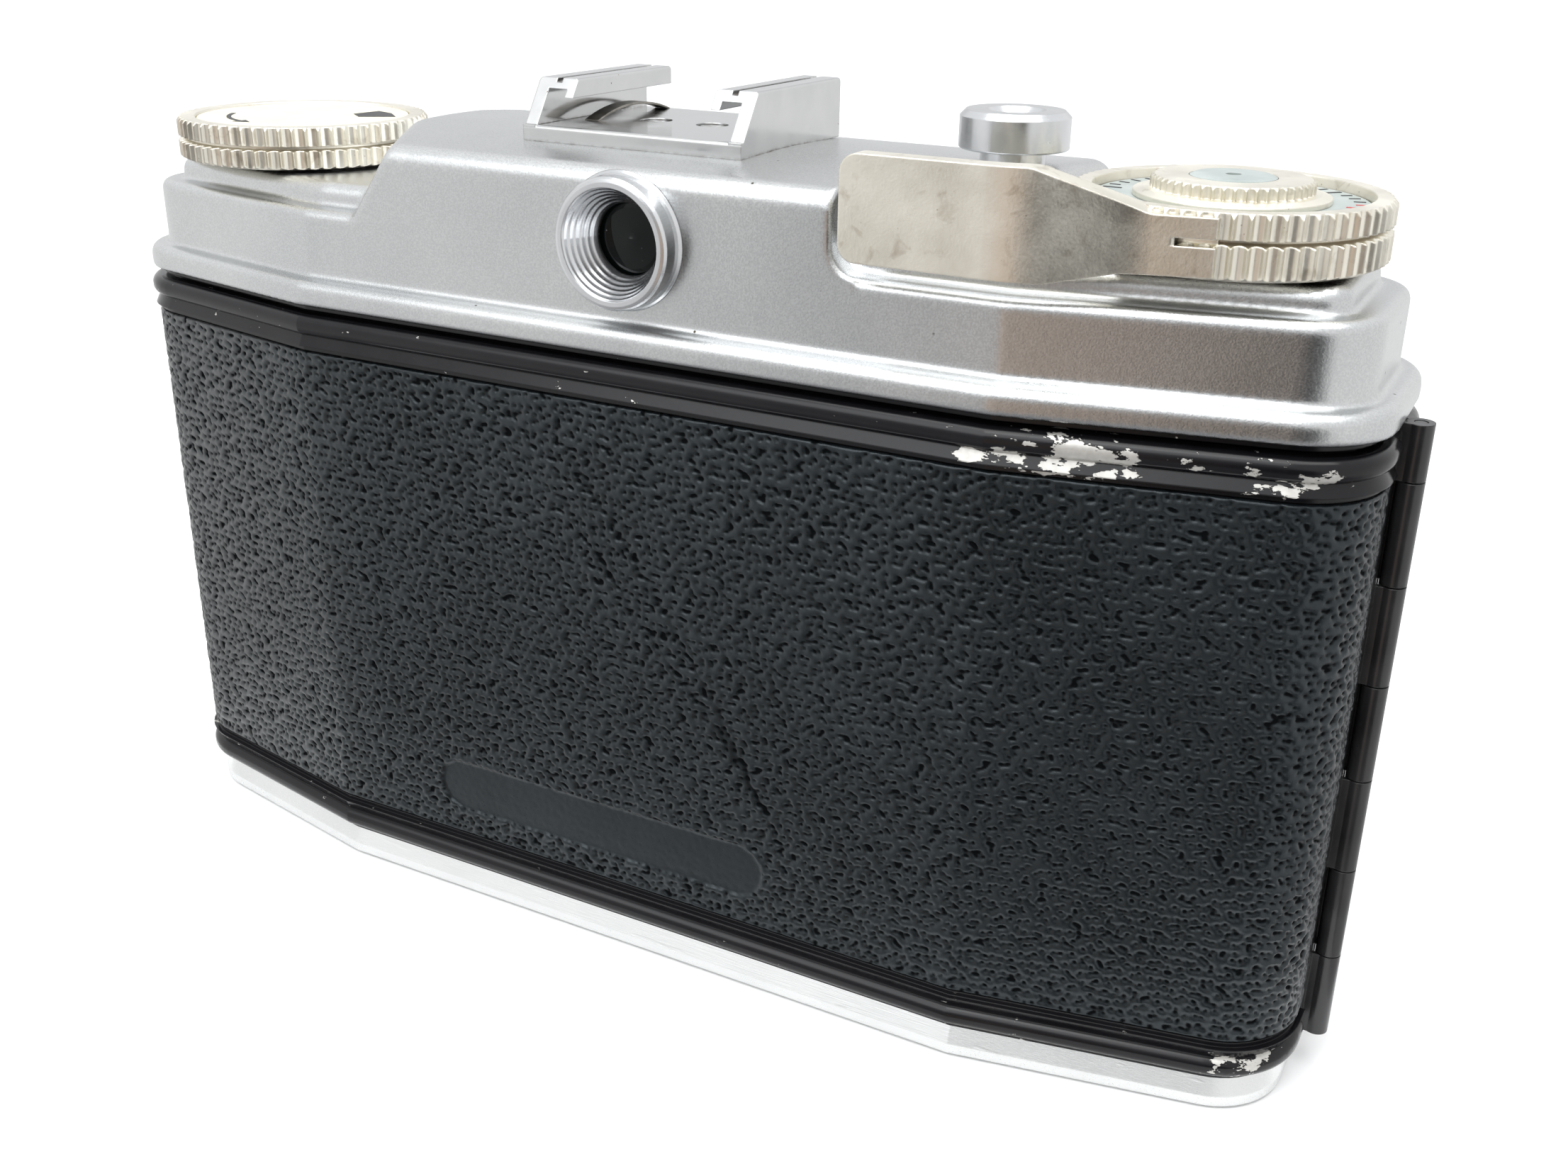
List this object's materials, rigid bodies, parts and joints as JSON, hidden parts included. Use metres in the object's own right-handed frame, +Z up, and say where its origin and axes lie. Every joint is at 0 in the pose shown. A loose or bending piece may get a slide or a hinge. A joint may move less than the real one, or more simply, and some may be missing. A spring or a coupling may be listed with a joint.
{
  "type": "folding camera",
  "caption": "Strut-folding 35 mm film camera, opened: hinged leathered back, rewind knob, rapid advance lever, accessory shoe, scissor struts, bellows and leaf shutter.",
  "frame": {"origin": "mouth of the tripod bush, in the middle of the base", "axes": "+X along the width towards the rewind knob, -Y where the lens looks, +Z up"},
  "size_m": [0.1304, 0.0733, 0.0823],
  "materials": {
    "satin_aluminium": "satin stamped and matt-chromed",
    "bright_aluminium": "satin anodised",
    "black_enamel": "gloss black enamel, chipped at the edges",
    "black_alloy": "matt black anodised",
    "cast_black": "matt black on die casting",
    "leatherette": "pebbled leatherette",
    "nickel": "warm satin nickel",
    "chrome": "polished and pitted",
    "turned_steel": "fine turned",
    "spring_steel": "plain",
    "black_steel": "semi-gloss black oxide",
    "brass": "turned",
    "glass": "coated optical glass",
    "dark_glass": "dark eyepiece glass",
    "cream_plate": "cream satin disc",
    "grey_dial": "etched grey dial",
    "bellows_cloth": "black bellows leather",
    "blade_steel": "blued",
    "red_enamel": "gloss"
  },
  "bodies": {
    "camera_body": {"top_cover": "satin_aluminium", "eyepiece_ring": "turned_steel", "eyepiece_lens": "dark_glass", "finder_bezels": "chrome", "finder_windows": "glass", "rangefinder_optics": "glass", "accessory_shoe": "chrome", "shoe_screws": "chrome", "shoe_spring": "spring_steel", "body_casting": "black_enamel", "strut_box": "black_alloy", "base_block": "black_alloy", "front_trim": "chrome", "front_leather": "leatherette", "bottom_plate": "bright_aluminium", "tripod_bush": "turned_steel", "base_screws": "nickel", "body_hinge_leaf": "black_steel", "hinge_pin": "black_steel", "release_collar": "nickel", "release_spring": "spring_steel", "body_strut_pins": "turned_steel", "bellows": "bellows_cloth"},
    "door": {"back_door": "black_enamel", "back_leather": "leatherette", "door_hinge_leaf": "black_steel", "pressure_springs": "spring_steel", "door_catch": "chrome"},
    "film_pressure": {"pressure_plate": "cast_black"},
    "latch": {"door_latch": "nickel"},
    "rewind_lifter": {"rewind_sleeve": "brass"},
    "rewind": {"rewind_knob": "nickel", "rewind_disc": "cream_plate", "rewind_shaft": "turned_steel"},
    "lever": {"advance_lever": "nickel", "lever_shaft": "turned_steel"},
    "counter": {"counter_dial": "grey_dial", "counter_knob": "nickel"},
    "release": {"release_button": "turned_steel"},
    "take_up": {"take_up_spool": "cast_black"},
    "sprocket": {"film_sprocket": "turned_steel"},
    "strut_a_left": {"strut_front_left": "chrome"},
    "strut_b_left": {"strut_rear_left": "chrome"},
    "strut_a_right": {"strut_front_right": "chrome"},
    "strut_b_right": {"strut_rear_right": "chrome"},
    "standard": {"lens_board": "chrome", "board_strut_pins": "turned_steel", "shutter_housing": "black_enamel", "sync_socket": "chrome", "lens_blades": "blade_steel", "shutter_face": "black_enamel", "rear_cell": "black_enamel", "rear_element": "glass"},
    "aperture": {"aperture_ring": "chrome"},
    "speed": {"speed_ring": "chrome"},
    "cocking": {"cocking_lever": "chrome"},
    "focus": {"focus_ring": "chrome"},
    "front_lens": {"front_cell": "black_enamel", "front_element": "glass"},
    "fold_button": {"fold_release_button": "chrome"}
  },
  "joints": [
    {"name": "door_hinge", "type": "hinge", "parent": "camera_body", "child": "door", "pos_m": [-0.06455, 0, 0.03], "axis": [0, 0, 1], "range_deg": [0, 150]},
    {"name": "pressure_travel", "type": "slide", "parent": "door", "child": "film_pressure", "axis": [0, 1, 0], "range_m": [0, 0.0008], "stiffness_N_per_m": 600, "springref_m": -0.002, "deforming": ["pressure_springs"]},
    {"name": "latch_slide", "type": "slide", "parent": "camera_body", "child": "latch", "axis": [0, 0, 1], "range_m": [0, 0.003], "stiffness_N_per_m": 120, "springref_m": -0.003},
    {"name": "rewind_lift", "type": "slide", "parent": "camera_body", "child": "rewind_lifter", "axis": [0, 0, 1], "range_m": [0, 0.0055]},
    {"name": "rewind_turn", "type": "hinge", "parent": "rewind_lifter", "child": "rewind", "pos_m": [0.0479, 0.0002, 0.07], "axis": [0, 0, 1], "continuous": true},
    {"name": "advance_stroke", "type": "hinge", "parent": "camera_body", "child": "lever", "pos_m": [-0.0479, 0.0002, 0.075], "axis": [0, 0, 1], "range_deg": [0, 130], "stiffness_Nm_per_rad": 0.01, "springref_deg": -34.38},
    {"name": "counter_turn", "type": "hinge", "parent": "lever", "child": "counter", "pos_m": [-0.0479, 0.0002, 0.077], "axis": [0, 0, 1], "continuous": true},
    {"name": "release_press", "type": "slide", "parent": "camera_body", "child": "release", "axis": [0, 0, -1], "range_m": [0, 0.0012], "stiffness_N_per_m": 500, "springref_m": -0.0015, "deforming": ["release_spring"]},
    {"name": "take_up_turn", "type": "hinge", "parent": "camera_body", "child": "take_up", "pos_m": [-0.0479, 0.0002, 0.03], "axis": [0, 0, 1], "continuous": true},
    {"name": "sprocket_turn", "type": "hinge", "parent": "camera_body", "child": "sprocket", "pos_m": [-0.0364, 0.0086, 0.03], "axis": [0, 0, 1], "continuous": true},
    {"name": "fold", "type": "hinge", "parent": "camera_body", "child": "strut_a_left", "pos_m": [0, 0.0022, 0.012], "axis": [1, 0, 0], "range_deg": [-47.4, 0], "deforming": ["bellows"]},
    {"name": "fold_cross_left", "type": "hinge", "parent": "strut_a_left", "child": "strut_b_left", "pos_m": [0, -0.01344, 0.02279], "axis": [1, 0, 0], "range_deg": [0, 94.8]},
    {"name": "fold_board", "type": "hinge", "parent": "strut_b_left", "child": "standard", "pos_m": [0, -0.02908, 0.012], "axis": [1, 0, 0], "range_deg": [-47.4, 0]},
    {"name": "fold_right", "type": "hinge", "parent": "camera_body", "child": "strut_a_right", "pos_m": [0, 0.0022, 0.012], "axis": [1, 0, 0], "range_deg": [-47.4, 0]},
    {"name": "fold_cross_right", "type": "hinge", "parent": "strut_a_right", "child": "strut_b_right", "pos_m": [0, -0.01344, 0.02279], "axis": [1, 0, 0], "range_deg": [0, 94.8]},
    {"name": "aperture_turn", "type": "hinge", "parent": "standard", "child": "aperture", "pos_m": [0, -0.03568, 0.0315], "axis": [0, -1, 0], "range_deg": [0, 75]},
    {"name": "speed_turn", "type": "hinge", "parent": "standard", "child": "speed", "pos_m": [0, -0.03568, 0.0315], "axis": [0, -1, 0], "range_deg": [0, 160]},
    {"name": "cocking", "type": "hinge", "parent": "standard", "child": "cocking", "pos_m": [0, -0.03568, 0.0315], "axis": [0, -1, 0], "range_deg": [0, 35], "stiffness_Nm_per_rad": 0.006, "springref_deg": -17.19},
    {"name": "focus_turn", "type": "hinge", "parent": "standard", "child": "focus", "pos_m": [0, -0.03568, 0.0315], "axis": [0, -1, 0], "range_deg": [0, 180]},
    {"name": "front_lens_travel", "type": "slide", "parent": "standard", "child": "front_lens", "axis": [0, -1, 0], "range_m": [0, 0.0024]},
    {"name": "fold_button_press", "type": "slide", "parent": "camera_body", "child": "fold_button", "axis": [0, 1, 0], "range_m": [0, 0.0015], "stiffness_N_per_m": 400, "springref_m": -0.0015}
  ],
  "couplings": [
    {"joint": "fold_cross_left", "follows": "fold", "ratio": -2},
    {"joint": "fold_board", "follows": "fold", "ratio": 1},
    {"joint": "fold_right", "follows": "fold", "ratio": 1},
    {"joint": "fold_cross_right", "follows": "fold", "ratio": -2},
    {"joint": "front_lens_travel", "follows": "focus_turn", "m_per_rad": 0.00076394}
  ]
}
